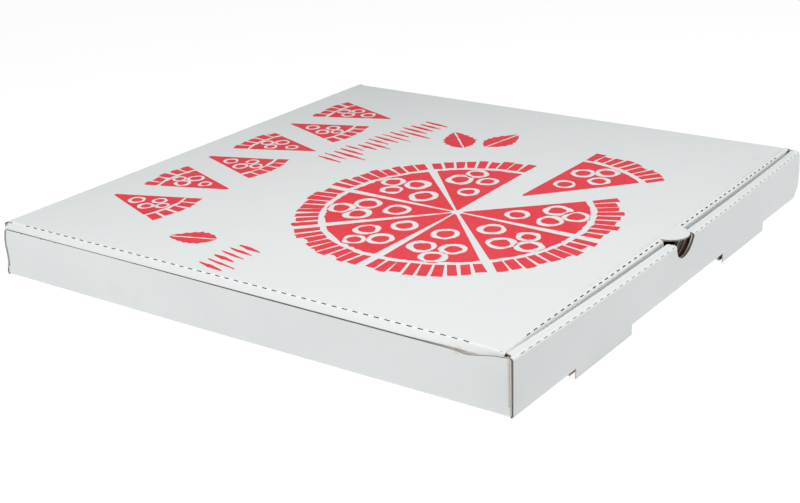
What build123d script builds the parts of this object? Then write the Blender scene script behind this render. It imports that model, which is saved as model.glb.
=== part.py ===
from build123d import *
import math
import os

# Take-away box for a flat pizza, folded from one sheet of thin corrugated board. The sheet is
# parted only at the fold that the lid turns on. Millimetres, +Z up. The thumb notch is in the
# front wall, which faces -Y, and the lid's fold runs along the top of the back wall at +Y. The
# origin is the centre of the tray's footprint, on the surface that the box stands on.

# Outside of the closed box
box_width = 330.0
box_depth = 330.0
box_height = 30.0

# Board and folds, which are round outside and creased sharp inside
board = 1.5
fold_radius = board * 0.8
layer_gap = 0.15
hinge_gap = 0.2

# Side walls of the tray, whose raw top edge climbs at its front end
side_wall_height = 26.3
side_wall_front_height = 28.8
side_ramp_start = 22.0
side_ramp_end = 1.5
side_wall_corner = board * 0.9

# Corner flaps at the ends of the side walls
corner_flap_length = 70.0
corner_flap_taper = 5.0
corner_flap_corner = 6.0

# Front wall: outer panel, roll-over strip and inner panel
front_wall_height = 29.0
strip_width = 3 * board + 2 * layer_gap
strip_taper = 3.4

# Slot tongues, which stay in the plane of the outer panel and reach below the floor
slot_tongue_near = 54.0
slot_tongue_far = 110.0
slot_tongue_drop = 4.4
slot_margin = 0.8

# Locking tabs of the inner panel, in the slots behind the tongues
tab_overhang = 4.0
tab_end_gap = 0.6
tab_drop = 3.6
tab_slant = 6.0

# Thumb notch in the front wall and thumb tongue on the lid
notch_radius = 10.5
notch_centre_drop = 0.2
thumb_radius = 10.2

# Lid panel and its two side flaps
lid_side_inset = 3.8
lid_front_inset = 6.2
side_flap_wall_gap = 0.3
side_flap_bend_drop = 3.4
side_flap_depth = 22.0
side_flap_rear_gap = 1.8
side_flap_rear_taper = 15.0
side_flap_front_gap = 2.0
side_flap_front_taper = 6.0

# Tuck flap along the front of the lid
tuck_flap_depth = 20.0
tuck_lean = 0.8
tuck_lean_drop = 1.6
tuck_return = 0.4
tuck_return_drop = 12.0
tuck_end_gap = 2.6
tuck_end_taper = 8.0

# Perforated folds: rows of short slits through the board
slit_length = 3.0
slit_width = 0.5
slit_depth = 2 * board
lid_slit_tilt = 30.0
wall_slit_tilt = 45.0
side_slit_pitch = 6.12
side_slit_front_margin = 19.6
side_slit_rear_margin = 15.0
lid_front_slit_pitch = 6.0
lid_front_slit_thumb_gap = 4.6
lid_front_slit_margin = 18.0
wall_slit_pitch = 6.2
wall_slit_notch_gap = 3.1
wall_slit_margin = 4.0

# Planes and lines that the panels share
floor_z = slot_tongue_drop
floor_top = floor_z + board
lid_top = floor_z + box_height
lid_under = lid_top - board
front_y = -box_depth / 2
back_y = box_depth / 2
half_width = box_width / 2
side_wall_face = half_width - board
shell_back_y = back_y - board - layer_gap
shell_front_y = front_y + board + layer_gap
strip_top = floor_z + front_wall_height
inner_face_y = front_y + strip_width
inner_panel_half = half_width - strip_taper
lid_fold_x = half_width - lid_side_inset
lid_fold_y = front_y + lid_front_inset
side_flap_x = side_wall_face - side_flap_wall_gap
side_flap_bottom = lid_top - side_flap_depth
notch_z = strip_top - notch_centre_drop


def slit_row(first, limit, pitch):
    """Middles of a row of slits, from the first one to the last that the limit leaves room for."""
    return [first + pitch * i for i in range(1 + int((limit - first) / pitch))]


def both_ways(row):
    """A row to the right of the middle, and its mirror image."""
    return row + [-x for x in row]


def tilted_back(degrees):
    """Direction that leans from straight up towards the front by an angle."""
    angle = math.radians(degrees)
    return Vector(0, -math.sin(angle), math.cos(angle))


# Front wall: the outer panel rises from the floor, rolls over and comes down as the inner panel
with BuildPart() as front_wall:
    with BuildSketch(Plane.YZ):
        with BuildLine():
            front_line = FilletPolyline(
                (shell_front_y, floor_z),
                (front_y, floor_z),
                (front_y, strip_top),
                (inner_face_y, strip_top),
                (inner_face_y, floor_top + layer_gap),
                radius=fold_radius,
            )
            offset(front_line, amount=board, side=Side.RIGHT)
        make_face()
    extrude(amount=half_width, both=True)

    # Ends of the roll-over strip, cut back behind the outer panel so that the side walls pass
    for end in (-1, 1):
        with BuildSketch(Plane.XY.offset(floor_top)):
            with BuildLine():
                Polyline(
                    (end * (half_width + board), front_y + board),
                    (end * (side_wall_face - layer_gap), front_y + board),
                    (end * inner_panel_half, inner_face_y),
                    (end * inner_panel_half, inner_face_y + board),
                    (end * (half_width + board), inner_face_y + board),
                    close=True,
                )
            make_face()
        extrude(amount=box_height, mode=Mode.SUBTRACT)

    # Slot tongues, straight on down from the outer panel
    with BuildSketch(Plane.XZ.offset(-front_y)):
        with Locations(
            ((slot_tongue_near + slot_tongue_far) / 2, 0),
            (-(slot_tongue_near + slot_tongue_far) / 2, 0),
        ):
            Rectangle(
                slot_tongue_far - slot_tongue_near,
                floor_z + fold_radius,
                align=(Align.CENTER, Align.MIN),
            )
    extrude(amount=-board)

    # Locking tabs, straight on down from the inner panel, with slanted ends
    for end in (-1, 1):
        with BuildSketch(Plane.XZ.offset(-inner_face_y)):
            with BuildLine():
                Polyline(
                    (end * (slot_tongue_near - tab_overhang), floor_top + 2 * layer_gap),
                    (end * (slot_tongue_near - tab_overhang), floor_z),
                    (end * (slot_tongue_near - tab_overhang + tab_slant), floor_z - tab_drop),
                    (end * (slot_tongue_far + tab_overhang - tab_slant), floor_z - tab_drop),
                    (end * (slot_tongue_far + tab_overhang), floor_z),
                    (end * (slot_tongue_far + tab_overhang), floor_top + 2 * layer_gap),
                    close=True,
                )
            make_face()
        extrude(amount=board)

    # Thumb notch through all the layers
    with BuildSketch(Plane.XZ.offset(-inner_face_y - board)):
        with Locations((0, notch_z)):
            Circle(notch_radius)
    extrude(amount=strip_width + 2 * board, mode=Mode.SUBTRACT)

    # Slits along the outer fold
    wall_slits = slit_row(
        notch_radius + wall_slit_notch_gap, inner_panel_half - wall_slit_margin, wall_slit_pitch
    )
    wall_slit_plane = Plane(
        origin=(0, front_y, strip_top), x_dir=(1, 0, 0), z_dir=tilted_back(wall_slit_tilt)
    )
    with BuildSketch(wall_slit_plane):
        with Locations(*[(x, 0) for x in both_ways(wall_slits)]):
            Rectangle(slit_length, slit_width)
    extrude(amount=-slit_depth, mode=Mode.SUBTRACT)

with BuildPart() as tray:
    # Floor and side walls: one section, bent up at both sides
    with BuildSketch(Plane.XZ):
        with BuildLine():
            shell_line = FilletPolyline(
                (-half_width, floor_z + side_wall_front_height),
                (-half_width, floor_z),
                (half_width, floor_z),
                (half_width, floor_z + side_wall_front_height),
                radius=fold_radius,
            )
            offset(shell_line, amount=board, side=Side.LEFT)
        make_face()
    extrude(amount=shell_back_y, both=True)
    fillet(
        tray.edges().filter_by(Axis.Z).filter_by(lambda e: abs(e.center().X) > half_width - layer_gap),
        radius=side_wall_corner,
    )

    # Raw top edge of the side walls, low along the box and climbing at the front end
    with BuildSketch(Plane.YZ):
        with BuildLine():
            Polyline(
                (back_y, floor_z + side_wall_height),
                (shell_front_y + side_ramp_start, floor_z + side_wall_height),
                (shell_front_y + side_ramp_end, floor_z + side_wall_front_height),
                (shell_front_y + side_ramp_end, lid_top),
                (back_y, lid_top),
                close=True,
            )
        make_face()
    extrude(amount=box_width, both=True, mode=Mode.SUBTRACT)

    # Corner flaps, folded inwards from both ends of each side wall
    for flap_face_y, inwards, flap_top in (
        (shell_front_y, -1, strip_top - board - layer_gap),
        (shell_back_y, 1, floor_z + side_wall_height),
    ):
        for end in (-1, 1):
            with BuildSketch(Plane.XZ.offset(-flap_face_y)):
                with BuildLine():
                    FilletPolyline(
                        (end * side_wall_face, floor_top + layer_gap),
                        (
                            end * (half_width - corner_flap_length + corner_flap_taper),
                            floor_top + layer_gap,
                        ),
                        (end * (half_width - corner_flap_length), flap_top),
                        (end * side_wall_face, flap_top),
                        radius=(0, corner_flap_corner, corner_flap_corner, 0),
                        close=True,
                    )
                make_face()
            extrude(amount=inwards * board)

    # Slots in the floor for the locking tabs
    slot_length = slot_tongue_far - slot_tongue_near + 2 * (tab_overhang + tab_end_gap)
    with BuildSketch(Plane.XY.offset(floor_z)):
        with Locations(
            ((slot_tongue_near + slot_tongue_far) / 2, shell_front_y),
            (-(slot_tongue_near + slot_tongue_far) / 2, shell_front_y),
        ):
            Rectangle(
                slot_length,
                inner_face_y + slot_margin - shell_front_y,
                align=(Align.CENTER, Align.MIN),
            )
    extrude(amount=board, mode=Mode.SUBTRACT)

    # Back wall, full width, bent up from the floor and mitred at the lid's fold
    with BuildSketch(Plane.YZ):
        with BuildLine():
            back_line = FilletPolyline(
                (shell_back_y, floor_z),
                (back_y, floor_z),
                (back_y, lid_top),
                radius=fold_radius,
            )
            offset(back_line, amount=board, side=Side.LEFT)
        make_face()
        with BuildLine():
            Polyline(
                (back_y + board, lid_top - hinge_gap / 2 + board),
                (back_y - 2 * board, lid_top - hinge_gap / 2 - 2 * board),
                (back_y - 2 * board, lid_top + board),
                close=True,
            )
        make_face(mode=Mode.SUBTRACT)
    extrude(amount=half_width, both=True)

    add(front_wall.part)

with BuildPart() as lid:
    # Lid panel and side flaps: one section, bent down at both sides
    with BuildSketch(Plane.XZ.offset(-lid_fold_y)):
        with BuildLine():
            lid_line = FilletPolyline(
                (-side_flap_x, side_flap_bottom),
                (-side_flap_x, lid_top - side_flap_bend_drop),
                (-lid_fold_x, lid_top),
                (lid_fold_x, lid_top),
                (side_flap_x, lid_top - side_flap_bend_drop),
                (side_flap_x, side_flap_bottom),
                radius=fold_radius,
            )
            offset(lid_line, amount=board, side=Side.RIGHT)
        make_face()
    extrude(amount=lid_fold_y - back_y)

    # Slanted ends of the side flaps
    with BuildSketch(Plane.YZ):
        with BuildLine():
            Polyline(
                (back_y + board, lid_under),
                (back_y - side_flap_rear_gap, lid_under),
                (back_y - side_flap_rear_gap - side_flap_rear_taper, side_flap_bottom - board),
                (back_y + board, side_flap_bottom - board),
                close=True,
            )
        make_face()
        with BuildLine():
            Polyline(
                (lid_fold_y - board, lid_under),
                (lid_fold_y + side_flap_front_gap, lid_under),
                (lid_fold_y + side_flap_front_gap + side_flap_front_taper, side_flap_bottom - board),
                (lid_fold_y - board, side_flap_bottom - board),
                close=True,
            )
        make_face()
    extrude(amount=box_width, both=True, mode=Mode.SUBTRACT)

    # Tuck flap, bent down from the front of the panel
    tuck_bottom = lid_top - tuck_flap_depth
    tuck_half = lid_fold_x - tuck_end_gap
    with BuildSketch(Plane.YZ):
        with BuildLine():
            tuck_line = FilletPolyline(
                (lid_fold_y + 3 * board, lid_top),
                (lid_fold_y, lid_top),
                (lid_fold_y - tuck_lean, lid_top - tuck_lean_drop),
                (lid_fold_y - tuck_lean, lid_top - tuck_return_drop),
                (lid_fold_y - tuck_lean + tuck_return, tuck_bottom),
                radius=fold_radius,
            )
            offset(tuck_line, amount=board, side=Side.LEFT)
        make_face()
    extrude(amount=tuck_half, both=True)
    for end in (-1, 1):
        with BuildSketch(Plane.XZ.offset(-lid_fold_y - 2 * board)):
            with BuildLine():
                Polyline(
                    (end * tuck_half, lid_under - board),
                    (end * (tuck_half - tuck_end_taper), tuck_bottom - board),
                    (end * (tuck_half + board), tuck_bottom - board),
                    (end * (tuck_half + board), lid_under - board),
                    close=True,
                )
            make_face()
        extrude(amount=4 * board, mode=Mode.SUBTRACT)

    # Half-round cut in the tuck flap, and the thumb tongue that it leaves on the panel
    with BuildSketch(Plane.XZ.offset(-lid_fold_y - 2 * board)):
        with Locations((0, lid_top)):
            Circle(thumb_radius)
    extrude(amount=4 * board, mode=Mode.SUBTRACT)
    with BuildSketch(Plane.XY.offset(lid_under)):
        with Locations((0, lid_fold_y)):
            Circle(thumb_radius)
    extrude(amount=board)

    # Mitre along the fold that the lid turns on
    with BuildSketch(Plane.YZ):
        with BuildLine():
            Polyline(
                (back_y - hinge_gap / 2 + board, lid_top + board),
                (back_y - hinge_gap / 2 - 2 * board, lid_top - 2 * board),
                (back_y + board, lid_top - 2 * board),
                close=True,
            )
        make_face()
    extrude(amount=box_width, both=True, mode=Mode.SUBTRACT)

    # Slits along the two side folds
    side_slits = slit_row(
        lid_fold_y + side_slit_front_margin, back_y - side_slit_rear_margin, side_slit_pitch
    )
    for end in (-1, 1):
        side_slit_plane = Plane(
            origin=(end * lid_fold_x, 0, lid_top),
            x_dir=(0, 1, 0),
            z_dir=tilted_back(lid_slit_tilt).rotate(Axis.Z, end * 90),
        )
        with BuildSketch(side_slit_plane):
            with Locations(*[(y, 0) for y in side_slits]):
                Rectangle(slit_length, slit_width)
        extrude(amount=-slit_depth, mode=Mode.SUBTRACT)

    # Slits along the front fold, either side of the thumb tongue
    lid_front_slits = slit_row(
        thumb_radius + lid_front_slit_thumb_gap,
        lid_fold_x - lid_front_slit_margin,
        lid_front_slit_pitch,
    )
    lid_front_slit_plane = Plane(
        origin=(0, lid_fold_y, lid_top), x_dir=(1, 0, 0), z_dir=tilted_back(lid_slit_tilt)
    )
    with BuildSketch(lid_front_slit_plane):
        with Locations(*[(x, 0) for x in both_ways(lid_front_slits)]):
            Rectangle(slit_length, slit_width)
    extrude(amount=-slit_depth, mode=Mode.SUBTRACT)

os.makedirs("parts", exist_ok=True)
tray.part.label = "tray"
lid.part.label = "lid"
export_step(tray.part, "parts/tray.step")
export_step(lid.part, "parts/lid.step")
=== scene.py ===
import bmesh
import bpy
import math
import numpy as np
from mathutils import Matrix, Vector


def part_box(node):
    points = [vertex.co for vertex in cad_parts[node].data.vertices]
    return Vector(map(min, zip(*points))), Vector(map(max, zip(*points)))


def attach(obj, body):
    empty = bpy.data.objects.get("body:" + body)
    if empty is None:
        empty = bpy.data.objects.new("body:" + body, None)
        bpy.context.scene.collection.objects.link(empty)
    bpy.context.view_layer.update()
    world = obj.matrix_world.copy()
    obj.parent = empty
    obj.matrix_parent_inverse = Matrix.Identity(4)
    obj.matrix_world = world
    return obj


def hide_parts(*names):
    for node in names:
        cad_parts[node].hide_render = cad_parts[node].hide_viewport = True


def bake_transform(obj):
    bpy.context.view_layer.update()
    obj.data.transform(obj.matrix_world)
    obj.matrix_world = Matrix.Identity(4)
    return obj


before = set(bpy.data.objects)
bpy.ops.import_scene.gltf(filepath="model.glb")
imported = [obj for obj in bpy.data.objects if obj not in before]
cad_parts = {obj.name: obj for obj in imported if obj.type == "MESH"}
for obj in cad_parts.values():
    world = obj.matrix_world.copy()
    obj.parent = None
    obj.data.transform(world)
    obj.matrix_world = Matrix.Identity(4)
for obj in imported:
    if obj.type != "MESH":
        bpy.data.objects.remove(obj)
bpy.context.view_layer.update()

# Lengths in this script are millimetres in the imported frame; meshes are written in metres.
MM = 0.001
tray_low, tray_high = [np.array(corner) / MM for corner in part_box("tray")]

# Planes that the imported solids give
half_width = tray_high[0]
back_y = tray_high[1]
front_y = tray_low[1]
lid_top = np.array(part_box("lid"))[1, 2] / MM

# Board and folds. The solids' folds are sharp inside, and these keep a small round there.
board = 1.5
fold_radius = board + 0.1
layer_gap = 0.15
crease_reach = 4.0
crease_radius = 0.9
crease_end_gap = 1.7
crease_overlap = 0.6

# Meshes: steps round a fold, rows of cells that a slit is wide, points along a plate or a half
# circle, widest cells, a run too short to see, a rounding error, the least area of a cell and the angle in
# degrees from which an edge is sharp
fold_steps = 5
slit_fold_steps = 9
crease_steps = 10
lid_side_slit_steps = 3
lid_front_slit_steps = 2
wall_slit_steps = 1
plate_points = 5
flap_points = 7
tongue_points = 9
round_points = 25
coarse_step = 9.0
flap_step = 8.0
middle_step = 6.0
fine_step = 4.0
crease_step = 0.5
short_run = 0.01
rounding = 1e-6
least_area = 1e-4
sharp_angle = 40.0

# Tray
floor_z = 4.4
floor_top = floor_z + board
side_wall_height = 26.3
side_wall_front_height = 28.0
side_ramp_start = 22.0
side_ramp_end = 1.5
corner_flap_length = 70.0
corner_flap_top_slope = 1.2
corner_flap_foot_slope = 1.5
corner_foot_gap = 0.2
strip_top = floor_z + 29.0
strip_width = 3 * board + 2 * layer_gap
inner_face_y = front_y + strip_width
side_inner = half_width - board - layer_gap
inner_panel_half = half_width - 3.4
shell_y = back_y - board - layer_gap
tongue_near = 54.0
tongue_far = 110.0
slot_margin = 0.8
tab_overhang = 4.0
tab_end_gap = 0.6
tab_drop = 3.6
tab_slant = 4.0
tab_lean = 1.6
pressed_end = 0.4
notch_radius = 10.5
notch_drop = 0.2

# Lid
lid_fold_x = half_width - 3.8
lid_fold_y = front_y + 6.2
front_root = 2.2
side_flap_x = half_width - board - 0.3
side_flap_bend = lid_top - 3.4
side_flap_bottom = lid_top - 22.0
side_flap_front = lid_fold_y + 2.0
side_flap_front_gap = -0.6
side_flap_front_taper = 6.0
side_flap_rear = back_y - 0.8
side_flap_rear_taper = 15.0
bend_start = 0.05
tuck_face_y = lid_fold_y - 0.3
tuck_half = lid_fold_x - 2.6
tuck_depth = 20.0
tuck_kink = 12.0
tuck_bend = 1.6
tuck_foot_in = 0.4
tuck_taper = 8.0
thumb_radius = 10.2
thumb_tip = 0.02
thumb_cut_gap = 0.9
thumb_crush = 0.55
thumb_crush_start = 0.6

# Slits along the perforated folds: the middle of the first one, the pitch and the number
slit_length = 3.0
side_slits = lid_fold_y + 19.6 + 6.12 * np.arange(48)
lid_front_slits = 14.8 + 6.0 * np.arange(22)
wall_slits = 13.6 + 6.2 * np.arange(24)

# How the used board has moved, by the formulas in tray_move and lid_move. First the front wall, and
# the back wall's raw ends, which are pressed thin
front_zone = 12.0
front_zone_fade = 2.0
front_out = 0.35
bow_out = 2.8
bow_sink = 0.9
panel_lean = 1.9
lean_loss = 1.0
far_corner_rise = 0.9
far_corner_reach = 12.0
end_in = 1.5
top_round = 0.25
top_round_height = 4.0
crush_share = 0.11
crush_height = 9.0
crush_reach = 25.0
crush_depth = 8.0
end_thinning = 1.2
end_thin_run = 3.0
end_thin_fade = 4.0

# Near side wall. Its crease is given by a point on it and the direction across it, along Y and Z
near_wall_zone = 4.0
foot_out = 1.5
foot_out_run = 200.0
wall_sag = 0.4
wall_sag_start = 90.0
wall_sag_run = 120.0
wall_dip = 0.9
wall_dip_y = -143.0
wall_dip_reach = 5.0
nicks = (150.0, 134.0, 123.0)
nick_half = 0.9
nick_depth = 0.4
bulge_out = 1.2
bulge_z = 24.0
bulge_height = 6.0
bulge_run = 60.0
crease_tilt = 0.05
crease_point = (-146.0, 26.4)
crease_across = (-0.817, 0.577)

# Lid: near flap, tuck flap and panel
flap_zone = 0.5
flap_out = 1.35
flap_out_start = -150.0
flap_out_run = 40.0
flap_out_below = 0.3
flap_out_fade = 0.5
flap_fold_fade = 3.0
tuck_out = 1.3
tuck_in = 0.2
wave_height = 0.16
wave_length_x = 61.0
wave_length_y = 73.0
wave_start_x = 0.7
wave_start_y = 0.4
wave_fade = 30.0
corner_dip = 0.7
corner_reach = 16.0

# Looks: the flutes' pitch, half the thickness of the ink, where the grey rub at the back wall's ends
# starts and is full, and faint marks of use and one painted shade, each with its place, radius, strength
# and tint
flute_pitch = 3.4
ink_depth = 0.04
rubbed_end = (2.4, 1.8)
rubbed_back = (2.0, 1.6)
marks_and_painted_shade = (
    ((-165.0, 78.0, 13.0), 9.0, 0.10, (0.50, 0.53, 0.55)),
    ((-165.0, 62.0, 10.0), 7.0, 0.08, (0.50, 0.52, 0.54)),
    ((-164.4, -136.5, 30.5), 2.4, 0.85, (0.75, 0.55, 0.25)),
    ((134.4, -149.3, 34.4), 4.5, 0.2, (0.45, 0.55, 0.72)),
    # Painted shade: greys the near side wall towards its front corner, where it lies in shade
    ((-165.0, -158.0, 16.0), 16.0, 0.16, (0.55, 0.58, 0.57)),
)

# Print: where each group lies, its turns in radians, its lengths, and the seeds of its draws
row_start = -100.0
row_pitch = 40.0
row_ys = (146.0, 90.0)
row_half_angle = 0.36
row_length = 56.0
pizza_middle = np.array([-28.0, -46.0])
pizza_radius = 88.0
pizza_apart = 1.6
pizza_drawn_out = 42.0
pizza_half_angle = 0.365
pizza_turn = math.radians(45.0)
leaves = (
    ((70.0, 14.0), 0.75, 34.0, 2000),
    ((78.0, 3.0), -0.15, 32.0, 2010),
    ((-124.0, 42.0), 1.9, 28.0, 2020),
)
stroke_rows = (
    ((14.0, 84.0), 16, 6.2, 30.0, -1.75, 3000),
    ((-152.0, 30.0), 6, 5.6, 26.0, -1.75, 3100),
)
print_grid = np.arange(-150.0, 160.0, 10.0)

# A slice: its tip and its crust's blocks are lengths, and its other parts shares of its length or
# half angle. A topping has a place in both. Each of its two outlines has a share of its size, a
# number of points, a roughness and a step in the seeds.
slice_tip = 2.0
wedge_share = 0.80
toppings = ((0.36, 0.0), (0.58, -0.42), (0.60, 0.45), (0.72, 0.02))
topping_size = 0.075
topping_spread = 0.02
topping_rings = ((1.0, 18, 0.05, 0), (0.62, 14, 0.08, 7))
crust_start = 0.84
crust_reach = 0.96
crust_spread = 0.05
crust_turn = 1.04
crust_gap = 0.10
crust_block = 7.0


def clipped(value):
    """The value, held between 0 and 1."""
    return np.clip(value, 0, 1)


def heading(angle):
    """The unit step in a direction given as an angle from +X."""
    return np.array([math.cos(angle), math.sin(angle)])


def quarter_left(step):
    """The step turned a quarter to the left."""
    return np.array([-step[1], step[0]])


def mirrored(places):
    """Places to the right of the middle, and their mirror images."""
    places = np.asarray(places)
    return np.concatenate([-places[::-1], places])


def cell_middles(lines):
    """The middle between each two grid lines."""
    return (lines[1:] + lines[:-1]) / 2


def stops(fixed, widest):
    """Sorted grid lines through all the fixed values, with equal steps between them that are no
    wider than a limit."""
    fixed = np.unique(np.round(np.asarray(fixed, float), 4))
    runs = [
        np.linspace(a, b, max(1, int(math.ceil((b - a) / widest))) + 1)[:-1]
        for a, b in zip(fixed[:-1], fixed[1:])
    ]
    return np.concatenate(runs + [fixed[-1:]])


def slit_ends(middles):
    """Both ends of each slit."""
    return np.concatenate([middles - slit_length / 2, middles + slit_length / 2])


def in_slits(x, middles):
    """True where x lies inside one of the slits."""
    return (np.abs(x[:, None] - middles[None, :]) < slit_length / 2).any(axis=1)


def middle_rows(arc, count):
    """The middle rows of cells of a fold, as many as a slit is wide."""
    first = arc[0] + (arc[1] - arc[0] - count) // 2
    return slice(first, first + count)


def crest_rows(line, arcs):
    """How strongly each row gets the painted highlight of a fold's crest: 1 on the crest of a fold,
    falling to 0 at its edges as a half sine."""
    painted_highlight = np.zeros(len(line.s))
    for first, last in arcs:
        share = (line.s[first:last + 1] - line.s[first]) / (line.s[last] - line.s[first])
        painted_highlight[first:last + 1] = np.sin(math.pi * share)
    return painted_highlight


class FoldLine:
    """A line in a section plane: straight runs joined by round corners. It gives, for an array of
    distances along the line, the point and the outward normal, which is the direction of travel
    turned a quarter to the left."""

    def __init__(self, corners, radii, steps, widest):
        """Walks along the corners. A straight run gets equal cells no longer than widest, and
        a corner between two runs an arc with its own radius and number of steps."""
        corners = np.asarray(corners, float)
        runs = np.diff(corners, axis=0)
        lengths = np.linalg.norm(runs, axis=1)
        along = runs / lengths[:, None]
        points, normals, self.arcs = [], [], []
        start = corners[0]
        for i in range(len(runs)):
            turn = 0.0
            if i + 1 < len(runs):
                turn = math.atan2(
                    along[i, 0] * along[i + 1, 1] - along[i, 1] * along[i + 1, 0],
                    along[i] @ along[i + 1],
                )
            radius = radii[i] if i + 1 < len(runs) else 0.0
            tangent = radius * math.tan(abs(turn) / 2)
            end = corners[i + 1] - along[i] * tangent
            run = np.linalg.norm(end - start)
            count = max(1, int(math.ceil(run / widest)))
            part = np.linspace(0, 1, count + 1)[:, None]
            left = quarter_left(along[i])
            points.append(start + (end - start) * part)
            normals.append(np.repeat(left[None], count + 1, axis=0))
            if radius > 0:
                angles = np.linspace(0, turn, steps[i] + 1)[1:-1]
                side = 1 if turn > 0 else -1
                centre = end + left * side * radius
                cos, sin = np.cos(angles), np.sin(angles)
                turned = np.stack([left[0] * cos - left[1] * sin, left[0] * sin + left[1] * cos], 1)
                points.append(centre - side * radius * turned)
                normals.append(turned)
                start = corners[i + 1] + along[i + 1] * tangent
                first = sum(len(p) for p in points) - len(turned) - 1
                self.arcs.append((first, first + steps[i]))
        self.points = np.concatenate(points)
        self.normals = np.concatenate(normals)
        self.s = np.concatenate([[0], np.cumsum(np.linalg.norm(np.diff(self.points, axis=0), axis=1))])

    def refine(self, extra):
        """Adds grid lines at more distances along the line."""
        s = np.unique(np.round(np.concatenate([self.s, extra]), 5))
        starts = [self.s[a] for a, _ in self.arcs]
        ends = [self.s[b] for _, b in self.arcs]
        self.points, self.normals = self.at(s)
        self.s = s
        self.arcs = [
            (int(np.argmin(abs(s - a))), int(np.argmin(abs(s - b)))) for a, b in zip(starts, ends)
        ]

    def at(self, s):
        """Points and unit normals at distances s, between the line's own points."""
        point = np.stack([np.interp(s, self.s, self.points[:, k]) for k in (0, 1)], -1)
        normal = np.stack([np.interp(s, self.s, self.normals[:, k]) for k in (0, 1)], -1)
        return point, normal / np.linalg.norm(normal, axis=-1, keepdims=True)


def new_object(name, data):
    """Makes an object of a mesh, curve, light or camera, and adds it to the scene."""
    made = bpy.data.objects.new(name, data)
    bpy.context.scene.collection.objects.link(made)
    return made


class Sheet:
    """Gathers patches of board into one mesh. Each patch is a grid of outer points and a grid of
    inner points one board thickness away, a mask of the cells that exist, and each point's place
    across and along the flutes. Faces between a kept and a cut cell become the raw edge."""

    OUTER, INNER, EDGE = 0, 1, 2

    def __init__(self):
        """Starts with no patch."""
        self.points, self.faces, self.slots, self.uvs, self.crests = [], [], [], [], []
        self.count = 0

    def patch(self, outer, normal, keep, across, along, crest=0.0, thick=board):
        """Adds one patch. keep is True or a mask of cells. The place across and along the flutes,
        the strength of the painted highlight on its fold crests and the board's thickness are single
        values or grids that can be spread over its points."""
        rows, columns = outer.shape[:2]
        shift = rows * columns
        across, along, crest, thick = [
            np.broadcast_to(values, (rows, columns)) for values in (across, along, crest, thick)
        ]
        inner = outer - thick[:, :, None] * normal
        index = np.arange(shift).reshape(rows, columns)
        a, b, c, d = index[:-1, :-1], index[1:, :-1], index[1:, 1:], index[:-1, 1:]
        diagonal_1 = outer[1:, 1:] - outer[:-1, :-1]
        diagonal_2 = outer[:-1, 1:] - outer[1:, :-1]
        area = np.linalg.norm(np.cross(diagonal_1, diagonal_2), axis=-1) / 2
        keep = keep & (area > least_area)
        facing = np.einsum("ijk,ijk->ij", np.cross(diagonal_1, diagonal_2), normal[:-1, :-1])
        forward = facing[keep].sum() > 0
        base = self.count
        top = np.stack([a[keep], b[keep], c[keep], d[keep]], 1)
        if not forward:
            top = top[:, ::-1]
        bottom = top[:, ::-1] + shift
        uv = np.stack([across.ravel(), along.ravel()], -1)
        self._add(top + base, self.OUTER, uv[top])
        self._add(bottom + base, self.INNER, uv[bottom - shift])
        padded = np.zeros((rows + 1, columns + 1), bool)
        padded[1:-1, 1:-1] = keep
        here = padded[1:-1, 1:-1]
        rims = []
        for near, p, q in (
            (padded[:-2, 1:-1], a, d),
            (padded[2:, 1:-1], c, b),
            (padded[1:-1, :-2], b, a),
            (padded[1:-1, 2:], d, c),
        ):
            open_side = here & ~near
            rims.append(np.stack([p[open_side], q[open_side]], 1))
        rims = np.concatenate(rims)
        if not forward:
            rims = rims[:, ::-1]
        quad = np.stack([rims[:, 0], rims[:, 1], rims[:, 1] + shift, rims[:, 0] + shift], 1)
        u = uv[np.stack([rims[:, 0], rims[:, 1], rims[:, 1], rims[:, 0]], 1), 0]
        w = np.broadcast_to(np.array([0.0, 0.0, 1.0, 1.0]), u.shape)
        self._add(quad + base, self.EDGE, np.stack([u, w], -1))
        self.points.append(np.concatenate([outer.reshape(-1, 3), inner.reshape(-1, 3)]))
        self.crests.append(np.tile(crest.ravel(), 2))
        self.count += 2 * shift

    def _add(self, faces, slot, uv):
        """Notes faces with their material slot and the map of their corners."""
        self.faces.append(faces)
        self.slots.append(np.full(len(faces), slot))
        self.uvs.append(uv)

    def build(self, name, materials, move):
        """Makes the object. move shifts every point as the used board has moved."""
        points = move(np.concatenate(self.points))
        faces = np.concatenate(self.faces)
        slots = np.concatenate(self.slots)
        uv = np.concatenate(self.uvs)
        used, faces = np.unique(faces, return_inverse=True)
        faces = faces.reshape(-1, 4)
        mesh = bpy.data.meshes.new(name)
        mesh.from_pydata((points[used] * MM).tolist(), [], faces.tolist())
        for material in materials:
            mesh.materials.append(material)
        mesh.polygons.foreach_set("material_index", slots.astype(np.int32))
        mesh.polygons.foreach_set("use_smooth", np.ones(len(faces), bool))
        layer = mesh.uv_layers.new(name="flutes")
        layer.data.foreach_set("uv", uv.reshape(-1).astype(np.float32))
        # Each point's strength of the painted highlight on fold crests
        painted_highlight = mesh.attributes.new("crest", "FLOAT", "POINT")
        painted_highlight.data.foreach_set("value", np.concatenate(self.crests)[used].astype(np.float32))
        mesh.set_sharp_from_angle(angle=math.radians(sharp_angle))
        mesh.update()
        mesh.validate()
        return new_object(name, mesh)


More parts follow.
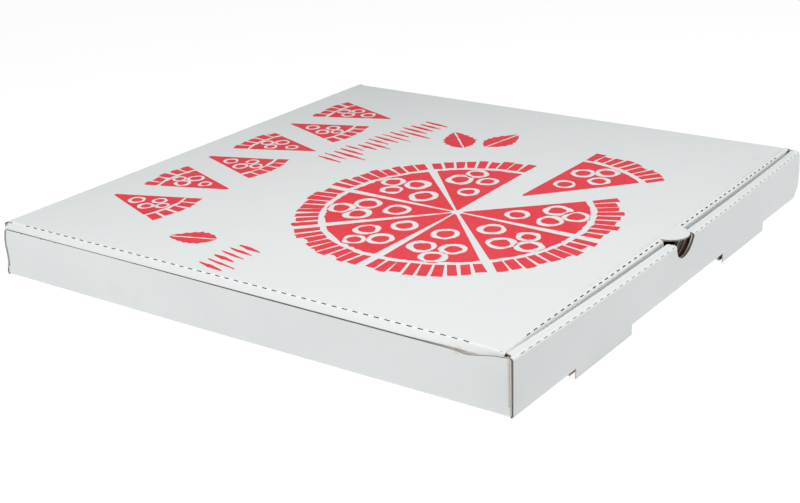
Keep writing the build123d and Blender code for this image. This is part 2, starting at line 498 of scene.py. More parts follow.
def tray_move(points):
    """Front wall: it all goes outwards by one length, and each point by a share of its height, most
    in the middle as on a parabola, while the inner panel's top leans in, less to the right, and the
    top sinks a little there and rises at the far corner. The far end is pushed in, further by the
    square of how low or how near the top it lies. Near side wall: the foot goes out by a share that
    grows towards the back, a bulge like a bell curve at the rear end, and a plane that turns inwards
    past a slanting crease at the front end."""
    x, y, z = points.T
    height = clipped((z - floor_z) / (strip_top - floor_z))
    in_front = clipped((front_y + front_zone - y) / front_zone_fade)
    swell = clipped(1 - (x / half_width) ** 2)
    inwards = clipped((y - front_y) / strip_width)
    far = clipped((x - half_width) / far_corner_reach + 1)
    near_wall = clipped(-x - half_width + near_wall_zone)
    rear = clipped((y - back_y) / bulge_run + 1)
    bulge = bulge_out * rear ** 2 * np.exp(-(((z - bulge_z) / bulge_height) ** 2))
    low_down = clipped(1 - (z - floor_z) / side_wall_height)
    foot = foot_out * clipped((y - front_y) / foot_out_run) * low_down
    over_y = crease_across[0] * (y - crease_point[0])
    past_crease = np.clip(over_y + crease_across[1] * (z - crease_point[1]), 0, None)
    low = np.clip(crush_height - (z - floor_z), 0, crush_height)
    to_end = clipped((x - half_width) / crush_reach + 1)
    to_front = clipped((front_y - y) / crush_depth + 1)
    high = np.clip(z - strip_top + top_round_height, 0, top_round_height)
    inset = end_in + crush_share * low ** 2 + top_round * high ** 2
    lean = panel_lean - lean_loss * clipped(x / half_width)
    moved = points.copy()
    moved[:, 0] += near_wall * (crease_tilt * past_crease - bulge - foot)
    moved[:, 0] -= inset * to_end ** 2 * to_front
    moved[:, 1] += in_front * height * (lean * inwards - bow_out * swell)
    moved[:, 1] -= front_out * in_front
    sinking = bow_sink * swell - far_corner_rise * far ** 2
    moved[:, 2] -= in_front * height * height ** 2 * sinking
    return moved


def lid_wave(x, y):
    """Height of the lid's surface over flat: a slow sine each way, and a dip like a bell curve at
    the near left corner. Both fade out towards the hinge."""
    slow = wave_height * np.sin(x / wave_length_x + wave_start_x) * np.sin(y / wave_length_y + wave_start_y)
    edge = clipped(1 - (x / lid_fold_x) ** 2) * clipped(1 - ((y - back_y) / (2 * back_y)) ** 2)
    corner = np.exp(-(((x + lid_fold_x) / corner_reach) ** 2 + ((y - lid_fold_y) / corner_reach) ** 2))
    from_hinge = clipped((back_y - crease_reach - y) / wave_fade)
    return from_hinge * (slow * edge - corner_dip * corner)


def lid_move(points):
    """The whole lid follows its surface's wave, and the near flap stands out above the side wall by
    a share that grows along it and fades upwards to the fold."""
    x, y, z = points.T
    near = clipped(-x - lid_fold_x + flap_zone)
    rear = clipped((y - flap_out_start) / flap_out_run)
    wall_top = floor_z + side_wall_height
    above = clipped((z - wall_top + flap_out_below) / flap_out_fade)
    moved = points.copy()
    moved[:, 0] -= flap_out * near * rear * (above * clipped((lid_top - z) / flap_fold_fade))
    moved[:, 2] += lid_wave(x, y)
    return moved


def spread(line, columns, axis, facing=1):
    """Carries a fold line along one axis: rows follow the line, columns the axis. It gives points
    and normals, which facing may turn round."""
    outer = np.zeros((len(line.s), len(columns), 3))
    normal = np.zeros_like(outer)
    others = [k for k in range(3) if k != axis]
    outer[:, :, others] = line.points[:, None]
    normal[:, :, others] = facing * line.normals[:, None]
    outer[:, :, axis] = columns
    return outer, normal


def flat_grid(x, y, z, axis, facing):
    """Points from three coordinates that spread over each other, and one normal along an axis."""
    outer = np.stack(np.broadcast_arrays(x, y, z), -1)
    normal = np.zeros_like(outer)
    normal[:, :, axis] = facing
    return outer, normal


def half_round(x, radius):
    """Height of a half circle over its straight side, 0 outside it."""
    return np.sqrt(np.clip(radius ** 2 - x ** 2, 0, None))


def round_columns(radius):
    """Columns across a half circle, evenly spaced in angle."""
    return radius * np.cos(np.linspace(math.pi, 0, round_points))


def long_strip(sheet):
    """Back wall, floor, outer front panel, roll-over strip and inner panel: one section carried
    across the box, with the notch, the floor slots and the slits left out. The back wall thins by
    a straight ramp towards its raw ends."""
    line = FoldLine(
        [(back_y, lid_top - crease_reach), (back_y, floor_z), (front_y, floor_z), (front_y, strip_top),
         (inner_face_y, strip_top), (inner_face_y, floor_top + layer_gap)],
        [fold_radius] * 4, [fold_steps, fold_steps, slit_fold_steps, fold_steps], middle_step,
    )
    slot_y = inner_face_y + slot_margin
    slot_near = tongue_near - tab_overhang - tab_end_gap
    slot_far = tongue_far + tab_overhang + tab_end_gap
    line.refine([line.s[line.arcs[1][0]] - (slot_y - (front_y + fold_radius))])
    columns = stops(
        np.concatenate([
            mirrored([inner_panel_half, side_inner, half_width - fold_radius, half_width]),
            mirrored([slot_near, tongue_near, tongue_far, slot_far]),
            slit_ends(mirrored(wall_slits)),
            round_columns(notch_radius),
        ]),
        coarse_step,
    )
    outer, normal = spread(line, columns, 0)
    arcs = line.arcs
    rows = np.arange(len(line.s))
    notch = half_round(columns, notch_radius)
    fold_foot = strip_top - fold_radius
    edge_z = np.where(notch > 0, np.minimum(strip_top - notch_drop - notch, fold_foot), fold_foot)
    for low, high, floor in (
        (arcs[1][1], arcs[2][0], floor_z + fold_radius),
        (arcs[3][1], len(line.s) - 1, floor_top + layer_gap),
    ):
        run = slice(low, high + 1)
        share = (edge_z - floor) / (fold_foot - floor)
        outer[run, :, 2] = floor + (outer[run, :, 2] - floor) * share
    limit = np.full(len(rows), half_width)
    strip_rows = slice(arcs[2][1], arcs[3][0] + 1)
    strip_y = line.points[strip_rows, 0]
    taper = clipped((strip_y - (front_y + board)) / (inner_face_y - front_y - board))
    limit[strip_rows] = side_inner + (inner_panel_half - side_inner) * taper
    limit[arcs[3][0] + 1:] = inner_panel_half
    outer[:, :, 0] = np.clip(outer[:, :, 0], -limit[:, None], limit[:, None])
    above = clipped((outer[:, :, 2] - floor_z - fold_radius) / end_thin_fade)
    above[rows > arcs[0][1]] = 0
    thinning = end_thinning * above * clipped((abs(columns) - half_width) / end_thin_run + 1)
    outer[:, :, 1] -= thinning
    middle = cell_middles(columns)
    out = abs(middle)
    row = rows[:-1, None]
    in_floor = (row >= arcs[0][1]) & (row < arcs[1][0])
    front_fold = (row >= arcs[1][0]) & (row < arcs[1][1])
    rolled = (row >= arcs[2][0]) & (row < arcs[3][1])
    before_slot = line.points[:-1, :1] <= slot_y + rounding
    keep = ~(in_floor & (out > half_width - fold_radius))
    keep &= ~(in_floor & before_slot & (out > slot_near) & (out < slot_far))
    keep &= ~(front_fold & (out > tongue_near) & (out < tongue_far))
    keep &= ~(rolled & (out < notch_radius))
    keep[middle_rows(arcs[2], wall_slit_steps), in_slits(middle, mirrored(wall_slits))] = False
    # Strength of the painted highlight on the crests of the strip's folds
    painted_highlight = crest_rows(line, arcs[2:])[:, None]
    sheet.patch(outer, normal, keep, columns, line.s[:, None], painted_highlight, board - thinning)


def flat_plate(sheet, low_z, high_z, columns, face_y, facing, lean=0.0, thick=board):
    """Upright plate across the box: rows share out the height between a lower and an upper edge,
    and the lower edge leans to the front by a length. The edges' heights and the thickness are one
    value or one for each column."""
    share = np.linspace(0, 1, plate_points)[:, None]
    z = low_z + (high_z - low_z) * share
    outer, normal = flat_grid(columns, face_y - lean * (1 - share), z, 1, facing)
    sheet.patch(outer, normal, True, columns, outer[:, :, 2], 0.0, thick)


def tongues_and_tabs(sheet):
    """Slot tongues below the outer panel, with pressed ends, and the locking tabs with slanted ends
    behind them."""
    near = tongue_near - tab_overhang
    far = tongue_far + tab_overhang
    for side in (-1, 1):
        columns = np.sort(side * stops([tongue_near, tongue_far], coarse_step))
        pressed = np.where(np.isin(abs(columns), (tongue_near, tongue_far)), pressed_end, board)
        flat_plate(sheet, 0.0, floor_z + fold_radius, columns, front_y, -1, 0.0, pressed)
        columns = np.sort(side * stops([near, near + tab_slant, far - tab_slant, far], coarse_step))
        inset = np.minimum(abs(columns) - near, far - abs(columns))
        low = floor_z - tab_drop * clipped(inset / tab_slant)
        lean = tab_lean * (side > 0)
        flat_plate(sheet, low, floor_top + layer_gap, columns, inner_face_y, 1, lean)


def side_wall(sheet, side):
    """Side wall bent up from the floor, with its raw top edge climbing at the front end. The near
    wall's edge sags, dips like a bell curve and has nicks."""
    line = FoldLine(
        [(-half_width + fold_radius, floor_z), (-half_width, floor_z),
         (-half_width, floor_z + side_wall_front_height)],
        [fold_radius], [fold_steps], fine_step,
    )
    places = [-shell_y, -shell_y + fold_radius, -shell_y + side_ramp_end, -shell_y + side_ramp_start,
              shell_y - fold_radius, shell_y]
    cuts = [nick + off for nick in nicks for off in (-nick_half, 0.0, nick_half)]
    y = stops(places + cuts, middle_step)
    outer, normal = spread(line, y, 1)
    climb = clipped((-shell_y + side_ramp_start - y) / (side_ramp_start - side_ramp_end))
    top = floor_z + side_wall_height + (side_wall_front_height - side_wall_height) * climb
    if side < 0:
        top -= wall_sag * clipped((wall_sag_start - y) / wall_sag_run) * (1 - climb)
        top -= wall_dip * np.exp(-(((y - wall_dip_y) / wall_dip_reach) ** 2))
        top -= nick_depth * np.isin(np.round(y, 4), nicks)
    base = floor_z + fold_radius
    wall = slice(line.arcs[0][1], None)
    share = (top - base) / (floor_z + side_wall_front_height - base)
    outer[wall, :, 2] = base + (outer[wall, :, 2] - base) * share
    outer[:, :, 0] *= -side
    normal[:, :, 0] *= -side
    ends = abs(cell_middles(y)) > shell_y - fold_radius
    upper = np.arange(len(line.s) - 1) >= line.arcs[0][1] + 1
    keep = ~(upper[:, None] & ends)
    sheet.patch(outer, normal, keep, (line.s - line.s[-1])[:, None], y)


def corner_flap(sheet, side, end):
    """Flap folded inwards round the upright corner; end is -1 at the front and 1 at the rear. Both
    its long edges slope towards the free end."""
    free = -half_width + corner_flap_length
    line = FoldLine(
        [(-half_width, shell_y - fold_radius - short_run), (-half_width, shell_y), (free, shell_y)],
        [fold_radius], [fold_steps], flap_step,
    )
    fold_top = floor_z + (side_wall_front_height if end < 0 else side_wall_height)
    flap_top = strip_top - board - layer_gap if end < 0 else floor_z + side_wall_height
    fold_low = floor_z + fold_radius + corner_foot_gap
    fold_s = line.s[line.arcs[0][1]]
    run = clipped((line.s - fold_s) / (line.s[-1] - fold_s))
    flap_low = floor_top + layer_gap + corner_flap_foot_slope * run
    top = np.where(line.s <= fold_s, fold_top, flap_top - corner_flap_top_slope * run)
    low = np.where(line.s <= fold_s, fold_low, flap_low)
    outer, normal = spread(line, np.linspace(0, 1, flap_points), 2)
    outer[:, :, 2] = low[:, None] + (top - low)[:, None] * outer[:, :, 2]
    flip = np.array([-side, end, 1])
    sheet.patch(outer * flip, normal * flip, True, outer[:, :, 2], line.s[:, None])


def lid_panel(sheet):
    """Lid panel with both side flaps: one section carried from front to back, with slits along
    both folds and slanted flap ends."""
    right = [(lid_fold_x, lid_top), (side_flap_x, side_flap_bend), (side_flap_x, side_flap_bottom)]
    line = FoldLine(
        [(-x, z) for x, z in right[::-1]] + right,
        [fold_radius] * 4, [fold_steps, slit_fold_steps, slit_fold_steps, fold_steps], coarse_step,
    )
    places = [lid_fold_y + front_root, side_flap_front, back_y - crease_reach, side_flap_rear]
    y = stops(np.concatenate([places, slit_ends(side_slits)]), coarse_step)
    outer, normal = spread(line, y, 1)
    z = outer[:, :, 2]
    under = lid_top - board
    depth = clipped((under - z) / (under - side_flap_bottom))
    rear_depth = clipped((side_flap_bend - z) / (side_flap_bend - side_flap_bottom))
    low = side_flap_front + side_flap_front_taper * depth
    high = side_flap_rear - side_flap_rear_taper * rear_depth
    outer[:, :, 1] = np.where(z < under, np.clip(outer[:, :, 1], low, high), outer[:, :, 1])
    bent = z[:, 0] < lid_top - bend_start
    outer[bent, 0, 1] = lid_fold_y + side_flap_front_gap + side_flap_front_taper * depth[bent, 0]
    middle = cell_middles(y)
    keep = np.ones((len(line.s) - 1, len(middle)), bool)
    keep[line.arcs[1][1]:line.arcs[2][0], middle > back_y - crease_reach] = False
    for arc in line.arcs[1:3]:
        keep[middle_rows(arc, lid_side_slit_steps), in_slits(middle, side_slits)] = False
    # Strength of the painted highlight on the crests of the lid's folds
    painted_highlight = crest_rows(line, line.arcs)[:, None]
    sheet.patch(outer, normal, keep, (line.s - line.s[-1] / 2)[:, None], y, painted_highlight)


def tuck_flap(sheet):
    """Tuck flap below the lid's front fold, with the half-round cut that the thumb tongue leaves. It
    bows out as on a parabola."""
    line = FoldLine(
        [(tuck_face_y + tuck_foot_in, lid_top - tuck_depth), (tuck_face_y, lid_top - tuck_kink),
         (tuck_face_y, lid_top - tuck_bend), (lid_fold_y, lid_top), (lid_fold_y + front_root, lid_top)],
        [fold_radius] * 3, [fold_steps, fold_steps, slit_fold_steps], fine_step,
    )
    fold = line.arcs[2]
    columns = stops(
        np.concatenate([
            mirrored([tuck_half - tuck_taper, tuck_half, lid_fold_x]),
            slit_ends(mirrored(lid_front_slits)),
            round_columns(thumb_radius),
        ]),
        coarse_step,
    )
    s = np.broadcast_to(line.s[:, None], (len(line.s), len(columns))).copy()
    fold_s = line.s[fold[0]]
    cut = half_round(columns, thumb_radius)
    s[:fold[0] + 1] *= np.where(cut > 0, (fold_s + thumb_cut_gap - cut).clip(0, fold_s) / fold_s, 1.0)
    outer = np.zeros((*s.shape, 3))
    normal = np.zeros_like(outer)
    outer[:, :, 0] = columns
    outer[:, :, 1:], normal[:, :, 1:] = line.at(s)
    past_fold = clipped((lid_top - outer[:, :, 2]) / fold_radius)
    outer[:, :, 1] -= (tuck_out * (1 - (columns / lid_fold_x) ** 2) - tuck_in) * past_fold
    drop = clipped((fold_s - s) / fold_s)
    limit = np.where(s < fold_s + short_run, tuck_half - tuck_taper * drop, lid_fold_x)
    outer[:, :, 0] = np.clip(outer[:, :, 0], -limit, limit)
    middle = cell_middles(columns)
    keep = np.ones((len(line.s) - 1, len(middle)), bool)
    keep[fold[0]:, abs(middle) < thumb_radius] = False
    keep[middle_rows(fold, lid_front_slit_steps), in_slits(middle, mirrored(lid_front_slits))] = False
    # The front fold's crest gets the painted highlight
    sheet.patch(outer, normal, keep, columns, s, crest_rows(line, [fold])[:, None])


def thumb_tongue(sheet):
    """Half-round tongue in the lid's own plane, out over the notch, pressed thin towards its rim."""
    columns = round_columns(thumb_radius)
    root = lid_fold_y + front_root
    reach = half_round(columns, thumb_radius) + thumb_tip
    share = np.linspace(0, 1, tongue_points)[:, None]
    y = root + (lid_fold_y - reach - root) * share
    outer, normal = flat_grid(columns, y, lid_top, 2, 1)
    pressed = clipped((share - thumb_crush_start) / (1 - thumb_crush_start))
    thick = board * (1 - thumb_crush * pressed)
    sheet.patch(outer, normal, True, columns, outer[:, :, 1], 0.0, thick)


def crease(sheet):
    """The last few millimetres of the back wall and of the lid, bent round the fold between them."""
    line = FoldLine(
        [(back_y, lid_top - crease_reach), (back_y, lid_top), (back_y - crease_reach, lid_top)],
        [crease_radius], [crease_steps], crease_step,
    )
    lid_end = lid_fold_x + crease_overlap
    columns = stops(mirrored([lid_end, half_width - crease_end_gap]), coarse_step)
    outer, normal = spread(line, columns, 0, -1)
    on_lid = np.arange(len(line.s) - 1) >= line.arcs[0][0] + crease_steps // 2
    keep = ~(on_lid[:, None] & (abs(cell_middles(columns)) > lid_end))
    sheet.patch(outer, normal, keep, columns, line.s[:, None])


class Nodes:
    """Short way to write a material's nodes and links."""

    def __init__(self, name):
        """Makes a material and notes its shader and the place in the object."""
        self.material = bpy.data.materials.new(name)
        self.material.use_nodes = True
        self.tree = self.material.node_tree
        self.shader = self.tree.nodes["Principled BSDF"]
        self.place = self.tree.nodes.new("ShaderNodeTexCoord").outputs["Object"]

    def node(self, kind, inputs=None, **settings):
        """Adds a node with its settings, and gives its inputs their values or links."""
        made = self.tree.nodes.new(kind)
        for key, value in settings.items():
            setattr(made, key, value)
        for key, value in (inputs or {}).items():
            self.give(made.inputs[key], value)
        return made

    def give(self, socket, value):
        """Links an output to the socket, or sets a plain value."""
        if isinstance(value, bpy.types.NodeSocket):
            self.tree.links.new(value, socket)
        else:
            socket.default_value = value

    def noise(self, scale, detail, rough=0.55):
        """Noise at the place in the object, in cycles a metre."""
        made = self.node(
            "ShaderNodeTexNoise",
            {"Vector": self.place, "Scale": scale, "Detail": detail, "Roughness": rough},
        )
        return made.outputs["Fac"]

    def ramp(self, value, low, high, out_low=0.0, out_high=1.0):
        """A straight ramp from one value at low to another at high, level beyond both."""
        made = self.node(
            "ShaderNodeMapRange",
            {"Value": value, "From Min": low, "From Max": high, "To Min": out_low, "To Max": out_high},
        )
        return made.outputs["Result"]

    def maths(self, operation, first, second=0.0, third=None):
        """One operation on up to three values."""
        made = self.node("ShaderNodeMath", {0: first, 1: second}, operation=operation)
        if third is not None:
            self.give(made.inputs[2], third)
        return made.outputs[0]

    def mix(self, factor, first, second):
        """The first colour, turned to the second by a factor."""
        made = self.node("ShaderNodeMix", {"Factor": factor}, data_type="RGBA")
        self.give(made.inputs[6], first)
        self.give(made.inputs[7], second)
        return made.outputs[2]

    def flutes(self):
        """The cosine of the place across the flutes, once a pitch, and the other value of the
        sheet's own map."""
        uv = self.node("ShaderNodeUVMap", uv_map="flutes").outputs["UV"]
        parts = self.node("ShaderNodeSeparateXYZ", {"Vector": uv})
        turns = self.maths("MULTIPLY", parts.outputs["X"], 2 * math.pi / flute_pitch)
        return self.maths("COSINE", turns), parts.outputs["Y"]

    def tint(self, colour, value, low, high, strength, shade):
        """The colour, turned to a shade by a share that ramps up to a strength."""
        return self.mix(self.ramp(value, low, high, 0.0, strength), colour, (*shade, 1))

    def bump(self, height, strength, distance, below=None):
        """A normal tilted by the slope of a height, on top of another normal."""
        made = self.node("ShaderNodeBump", {"Height": height, "Strength": strength, "Distance": distance})
        if below is not None:
            self.give(made.inputs["Normal"], below)
        return made.outputs["Normal"]

    def finish(self, colour, rough, normal, specular=0.35):
        """Gives the shader its values and hands back the material."""
        self.give(self.shader.inputs["Base Color"], colour)
        self.give(self.shader.inputs["Roughness"], rough)
        self.give(self.shader.inputs["Normal"], normal)
        self.shader.inputs["Specular IOR Level"].default_value = specular
        return self.material


def white_liner():
    """Coated white face: cool white, faintly clouded, with the flutes showing through as bands,
    marks of use and a painted shade that fade from their centres, and a painted highlight on the crests of
    the folds."""
    look = Nodes("coated_white_liner")
    cloud = look.noise(14.0, 4.0)
    fibre = look.noise(900.0, 2.0)
    speck = look.noise(2600.0, 1.0)
    wave, _ = look.flutes()
    # Painted highlight: fold crests are coloured paler white in place of the light a fold's curve catches
    painted_highlight = look.node("ShaderNodeAttribute", attribute_name="crest").outputs["Fac"]
    colour = look.mix(look.ramp(cloud, 0.35, 0.7), (0.815, 0.845, 0.84, 1), (0.785, 0.815, 0.811, 1))
    colour = look.tint(colour, fibre, 0.35, 0.75, 0.3, (0.75, 0.77, 0.77))
    colour = look.tint(colour, speck, 0.735, 0.76, 0.35, (0.42, 0.40, 0.36))
    colour = look.tint(colour, wave, -1.0, 1.0, 0.05, (0.72, 0.74, 0.75))
    # Marks of use, and the last entry, which is painted shade, each fading from its centre
    for place, radius, depth, tint in marks_and_painted_shade:
        centre = [length * MM for length in place]
        away = look.node("ShaderNodeVectorMath", {0: look.place, 1: centre}, operation="DISTANCE")
        near = look.ramp(away.outputs["Value"], 0.0, radius * MM, depth, 0.0)
        colour = look.mix(near, colour, (*tint, 1))
    # Painted highlight on the fold crests
    colour = look.tint(colour, painted_highlight, 0.2, 1.0, 0.55, (0.93, 0.94, 0.935))
    rough = look.ramp(cloud, 0.3, 0.7, 0.46, 0.60)
    normal = look.bump(wave, 0.05, 0.0001)
    normal = look.bump(fibre, 0.18, 0.00005, normal)
    return look.finish(colour, rough, normal)


def kraft_liner():
    """Uncoated brown inside face, with fibres and the same bands, rubbed grey at the back wall's
    two raw ends."""
    look = Nodes("brown_kraft_liner")
    cloud = look.noise(22.0, 4.0)
    fibre = look.noise(500.0, 4.0, 0.7)
    dark = look.noise(1800.0, 2.0)
    wave, _ = look.flutes()
    colour = look.mix(look.ramp(cloud, 0.3, 0.7), (0.40, 0.27, 0.155, 1), (0.335, 0.222, 0.125, 1))
    colour = look.tint(colour, fibre, 0.3, 0.75, 0.4, (0.47, 0.34, 0.21))
    colour = look.tint(colour, dark, 0.66, 0.74, 0.5, (0.20, 0.125, 0.065))
    colour = look.tint(colour, wave, -1.0, 1.0, 0.16, (0.29, 0.19, 0.105))
    parts = look.node("ShaderNodeSeparateXYZ", {"Vector": look.place})
    aside = look.maths("ABSOLUTE", parts.outputs["X"])
    to_end = look.ramp(aside, *[(half_width - inset) * MM for inset in rubbed_end])
    to_back = look.ramp(parts.outputs["Y"], *[(back_y - inset) * MM for inset in rubbed_back])
    colour = look.mix(look.maths("MULTIPLY", to_end, to_back), colour, (0.50, 0.49, 0.47, 1))
    normal = look.bump(wave, 0.25, 0.0001)
    normal = look.bump(fibre, 0.3, 0.00008, normal)
    return look.finish(colour, look.ramp(fibre, 0.3, 0.7, 0.78, 0.92), normal, 0.2)


def raw_edge():
    """Cut edge of the board: a pale liner at each face, and between them the hollows of the flutes,
    painted near black as shade, with the middle sheet, which follows a wave whose phase is the place across
    the flutes."""
    look = Nodes("raw_fluted_edge")
    wave, depth = look.flutes()
    centre = look.maths("MULTIPLY_ADD", wave, 0.14, 0.40)
    off = look.maths("ABSOLUTE", look.maths("SUBTRACT", depth, centre))
    middle = look.ramp(off, 0.04, 0.09, 1.0, 0.0)
    outer = look.ramp(depth, 0.11, 0.17, 1.0, 0.0)
    inner = look.ramp(depth, 0.60, 0.68)
    ragged = look.noise(700.0, 3.0)
    fuzz = look.noise(2200.0, 2.0)
    # Painted shade: the flute hollows are coloured near black for the shade inside them, varied by a noise
    hollow = look.mix(look.ramp(ragged, 0.35, 0.65), (0.055, 0.05, 0.044, 1), (0.13, 0.115, 0.10, 1))
    colour = look.mix(middle, hollow, (0.30, 0.27, 0.23, 1))
    colour = look.mix(outer, colour, (0.78, 0.775, 0.75, 1))
    colour = look.mix(inner, colour, (0.69, 0.645, 0.575, 1))
    colour = look.tint(colour, fuzz, 0.5, 0.8, 0.25, (0.56, 0.52, 0.46))
    height = look.maths("MAXIMUM", middle, look.maths("MAXIMUM", outer, inner))
    normal = look.bump(height, 0.6, 0.0003)
    return look.finish(colour, look.ramp(fuzz, 0.3, 0.7, 0.84, 0.94), normal, 0.15)


def red_ink():
    """Red print: solid, a little mottled, with the board's white showing through in pinholes."""
    look = Nodes("red_print")
    mottle = look.noise(260.0, 4.0)
    pin = look.noise(1500.0, 2.0)
    wide = look.noise(18.0, 2.0)
    colour = look.mix(look.ramp(mottle, 0.3, 0.7), (0.84, 0.050, 0.070, 1), (0.77, 0.040, 0.062, 1))
    colour = look.tint(colour, wide, 0.35, 0.7, 0.35, (0.86, 0.075, 0.095))
    colour = look.tint(colour, pin, 0.70, 0.76, 0.55, (0.80, 0.45, 0.46))
    normal = look.bump(mottle, 0.1, 0.00005)
    return look.finish(colour, look.ramp(mottle, 0.3, 0.7, 0.48, 0.58), normal)


def rough_loop(centre, reach, count, roughness, seed):
    """Closed outline round a centre: each point's distance varies by a share that comes from a
    seeded draw, smoothed with its neighbour."""
    draw = np.random.default_rng(seed)
    angle = np.linspace(0, 2 * math.pi, count, endpoint=False)
    jitter = draw.normal(0, 1, count)
    smoothing = 1.4
    jitter = (jitter + np.roll(jitter, 1)) / smoothing
    length = reach * (1 + roughness * jitter)
    return np.stack([centre[0] + length * np.cos(angle), centre[1] + length * np.sin(angle)], 1)


def rough_path(points, step, roughness, seed):
    """Closed outline through corners, cut into short steps that wander a little."""
    draw = np.random.default_rng(seed)
    points = np.asarray(points, float)
    parts = []
    for a, b in zip(points, np.roll(points, -1, axis=0)):
        count = max(1, int(np.linalg.norm(b - a) / step))
        parts.append(a + (b - a) * np.linspace(0, 1, count, endpoint=False)[:, None])
    line = np.concatenate(parts)
    return line + draw.normal(0, roughness, line.shape)


def sector(centre, start, stop, inner, outer, seed, step=2.4, roughness=0.36):
    """Outline of a piece of a ring between two angles and two radii, in steps that wander a little."""
    turn = abs(stop - start)
    out = np.linspace(start, stop, max(3, int(outer * turn / step)))
    back = np.linspace(stop, start, max(2, int(inner * turn / step)))
    ring = np.concatenate([
        np.stack([outer * np.cos(out), outer * np.sin(out)], 1),
        np.stack([inner * np.cos(back), inner * np.sin(back)], 1),
    ])
    draw = np.random.default_rng(seed)
    return np.asarray(centre) + ring + draw.normal(0, roughness, ring.shape)


def pizza_slice(centre, turn, half_angle, length, seed):
    """A slice printed in solid red: a wedge with its round toppings drawn as white rings, and a
    crust of short blocks along its outer edge."""
    draw = np.random.default_rng(seed)
    wedge = length * wedge_share
    loops = [sector(centre, turn - half_angle, turn + half_angle, slice_tip, wedge, seed)]
    for k, (out, off) in enumerate(toppings):
        place = np.asarray(centre) + out * length * heading(turn + off * half_angle)
        size = length * (topping_size + topping_spread * draw.random())
        for share, points, roughness, shift in topping_rings:
            loops.append(rough_loop(place, size * share, points, roughness, seed + 31 * k + shift))
    blocks = max(3, int(2 * half_angle * length / crust_block))
    edges = np.linspace(turn - half_angle * crust_turn, turn + half_angle * crust_turn, blocks + 1)
    gap = (edges[1] - edges[0]) * crust_gap
    root = length * crust_start
    for k in range(blocks):
        reach = length * (crust_reach + crust_spread * draw.random())
        loops.append(sector(centre, edges[k] + gap, edges[k + 1] - gap, root, reach, seed + 5 * k, 2.0))
    return loops


def leaf(centre, turn, length, seed):
    """A basil leaf: two halves either side of a white rib, as wide as a half sine, with a rim that
    goes in at every other point."""
    points = 15
    tooth = 0.16
    half_width_share = 0.30
    fullness = 0.8
    rib_half = 0.6
    along = heading(turn)
    side = quarter_left(along)
    share = np.linspace(0, 1, points)
    width = half_width_share * length * np.sin(math.pi * share ** fullness)
    width = width * (1 - tooth * (np.arange(points) % 2))
    loops = []
    for way in (-1, 1):
        rib = [np.asarray(centre) + along * length * t + side * way * rib_half for t in share]
        rim = [
            np.asarray(centre) + along * length * t + side * way * (w + rib_half)
            for t, w in zip(share, width)
        ]
        loops.append(rough_path(rib + rim[-2:0:-1], 2.5, 0.15, seed + way))
    return loops


def strokes(corner, count, step, length, turn, seed):
    """A row of short brush strokes side by side, each widest halfway along. Seeded draws give its
    start, length and width."""
    outline = ((0.0, -0.4), (0.0, 0.4), (0.5, 1.0), (1.0, 0.3), (1.0, -0.3), (0.5, -1.0))
    shifts = (-2.5, 2.5)
    reaches = (0.55, 1.0)
    halves = (1.1, 1.8)
    draw = np.random.default_rng(seed)
    along = heading(turn)
    side = quarter_left(along)
    loops = []
    for k in range(count):
        start = np.asarray(corner) + side * step * k + along * draw.uniform(*shifts)
        reach = length * draw.uniform(*reaches)
        half = draw.uniform(*halves)
        corners = [start + along * reach * out + side * half * wide for out, wide in outline]
        loops.append(rough_path(corners, 2.0, 0.12, seed + k))
    return loops


def print_loops():
    """The whole print: a row of slices along the back that point back and forward by turns, a cut
    pizza with one slice drawn out, leaves and brush strokes."""
    loops = []
    for k in range(6):
        centre = (row_start + row_pitch * k, row_ys[k % 2])
        turn = -math.pi / 2 if k % 2 == 0 else math.pi / 2
        loops += pizza_slice(centre, turn, row_half_angle, row_length, 100 + 50 * k)
    for k in range(7):
        turn = pizza_turn / 2 + pizza_turn * k
        centre = pizza_middle + pizza_apart * heading(turn)
        loops += pizza_slice(centre, turn, pizza_half_angle, pizza_radius, 900 + 70 * k)
    centre = pizza_middle + pizza_drawn_out * heading(-pizza_turn / 2)
    loops += pizza_slice(centre, -pizza_turn / 2, pizza_half_angle, pizza_radius, 1500)
    for values in leaves:
        loops += leaf(*values)
    for values in stroke_rows:
        loops += strokes(*values)
    return loops


def lid_print(material):
    """Fills the outlines as one flat curve, cuts it on a grid so that it can bend with the lid, and
    lays it on the lid as a film thinner than paper."""
    curve = bpy.data.curves.new("print_outline", "CURVE")
    curve.dimensions = "2D"
    curve.fill_mode = "BOTH"
    curve.extrude = ink_depth * MM
    for loop in print_loops():
        spline = curve.splines.new("POLY")
        spline.points.add(len(loop) - 1)
        flat = np.zeros((len(loop), 4))
        flat[:, :2] = loop * MM
        flat[:, 3] = 1
        spline.points.foreach_set("co", flat.reshape(-1))
        spline.use_cyclic_u = True
    holder = new_object("print_outline", curve)
    bpy.context.view_layer.update()
    mesh = bpy.data.meshes.new_from_object(holder)
    bpy.data.objects.remove(holder)
    bpy.data.curves.remove(curve)
    shape = bmesh.new()
    shape.from_mesh(mesh)
    bmesh.ops.remove_doubles(shape, verts=shape.verts, dist=1e-6)
    for direction in np.eye(3)[:2]:
        for line in print_grid:
            bmesh.ops.bisect_plane(
                shape, geom=shape.verts[:] + shape.edges[:] + shape.faces[:], dist=1e-7,
                plane_co=(direction * line * MM).tolist(), plane_no=direction.tolist(),
            )
    bmesh.ops.recalc_face_normals(shape, faces=shape.faces[:])
    shape.to_mesh(mesh)
    shape.free()
    points = np.zeros(len(mesh.vertices) * 3)
    mesh.vertices.foreach_get("co", points)
    points = points.reshape(-1, 3)
    points[:, 2] += (lid_top + lid_wave(points[:, 0] / MM, points[:, 1] / MM)) * MM
    mesh.vertices.foreach_set("co", points.reshape(-1))
    mesh.materials.clear()
    mesh.materials.append(material)
    mesh.update()
    return new_object("lid_print", mesh)


white = white_liner()
kraft = kraft_liner()
edge = raw_edge()
ink = red_ink()
board_finish = (white, kraft, edge)

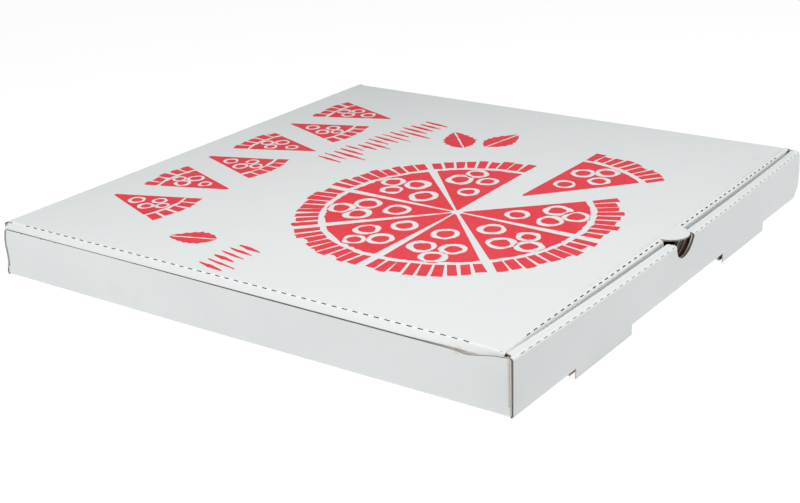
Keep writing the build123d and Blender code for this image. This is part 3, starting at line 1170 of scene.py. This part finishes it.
tray_sheet = Sheet()
long_strip(tray_sheet)
tongues_and_tabs(tray_sheet)
for side in (-1, 1):
    side_wall(tray_sheet, side)
    for end in (-1, 1):
        corner_flap(tray_sheet, side, end)
tray_piece = tray_sheet.build("tray_board", board_finish, tray_move)
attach(tray_piece, "tray")
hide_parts("tray")

lid_sheet = Sheet()
lid_panel(lid_sheet)
tuck_flap(lid_sheet)
thumb_tongue(lid_sheet)
lid_piece = lid_sheet.build("lid_board", board_finish, lid_move)
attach(lid_piece, "lid")
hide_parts("lid")

print_piece = lid_print(ink)
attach(print_piece, "lid")

crease_sheet = Sheet()
crease(crease_sheet)
crease_piece = crease_sheet.build("lid_crease", board_finish, tray_move)
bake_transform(crease_piece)


def table_top():
    """Pale floor, tilted to meet both the slot tongues and the back wall's lower edge."""
    size = 6.0
    glow = 0.88
    tilt = math.atan2(floor_z, back_y - front_y)
    mesh = bpy.data.meshes.new("floor")
    corners = [(-size, -size, 0), (size, -size, 0), (size, size, 0), (-size, size, 0)]
    mesh.from_pydata(corners, [], [(0, 1, 2, 3)])
    mesh.transform(Matrix.Translation((0, front_y * MM, 0)) @ Matrix.Rotation(tilt, 4, "X"))
    look = Nodes("pale_floor")
    grain = look.noise(40.0, 3.0)
    colour = look.mix(look.ramp(grain, 0.3, 0.7), (0.20, 0.20, 0.20, 1), (0.19, 0.19, 0.195, 1))
    mesh.materials.append(look.finish(colour, 0.8, look.bump(grain, 0.02, 0.0005), 0.1))
    look.shader.inputs["Emission Color"].default_value = (1, 1, 1, 1)
    look.shader.inputs["Emission Strength"].default_value = glow
    new_object("floor", mesh)


def standing(right, up, back, place):
    """The matrix of an object at a place, with its own axes along three directions."""
    return Matrix([(right[k], up[k], back[k], place[k]) for k in range(3)] + [(0, 0, 0, 1)])


def soft_light(name, place, aim, size, power):
    """Square soft light at a place, turned to its aim, both in metres."""
    data = bpy.data.lights.new(name, "AREA")
    data.size = size
    data.energy = power
    back = np.array(place, float) - np.array(aim, float)
    back /= np.linalg.norm(back)
    right = np.cross([0, 0, 1], back)
    right /= np.linalg.norm(right)
    new_object(name, data).matrix_world = standing(right, np.cross(back, right), back, place)


def photo_camera():
    """Camera solved from the box's straight edges in the photo: its place, and its right and
    view directions, in the frame of the box."""
    place = np.array([-626.31, -451.41, 295.63 + floor_z]) * MM
    right = np.array([0.582527, -0.811730, -0.041926])
    view = np.array([0.745685, 0.554233, -0.369837])
    focal_pixels = 1415.37
    frame_pixels = 800.0
    half_pixel = 0.5
    data = bpy.data.cameras.new("photo_camera")
    data.sensor_width = 36.0
    data.lens = focal_pixels * data.sensor_width / frame_pixels
    data.shift_x = -half_pixel / frame_pixels
    data.shift_y = half_pixel / frame_pixels
    data.clip_start = 0.01
    camera = new_object("photo_camera", data)
    camera.matrix_world = standing(right, np.cross(right, view), -view, place)
    bpy.context.scene.camera = camera


def studio():
    """Even white surroundings, a soft key light above the front edge, a weaker one at the left side
    and a weak one at the right front, shown without a film curve."""
    world = bpy.data.worlds.new("studio")
    world.use_nodes = True
    background = world.node_tree.nodes["Background"].inputs
    background["Color"].default_value = (0.985, 0.995, 1.0, 1)
    background["Strength"].default_value = 0.28
    bpy.context.scene.world = world
    bpy.context.scene.view_settings.view_transform = "Standard"
    soft_light("key", (-0.15, -0.2, 0.72), (0, -0.05, 0), 0.45, 3.3)
    soft_light("left_fill", (-0.6, 0.2, 0.5), (-0.1, 0, 0), 0.5, 1.5)
    soft_light("right_fill", (0.55, -0.45, 0.3), (0.05, -0.165, 0), 0.3, 0.7)


table_top()
studio()
photo_camera()
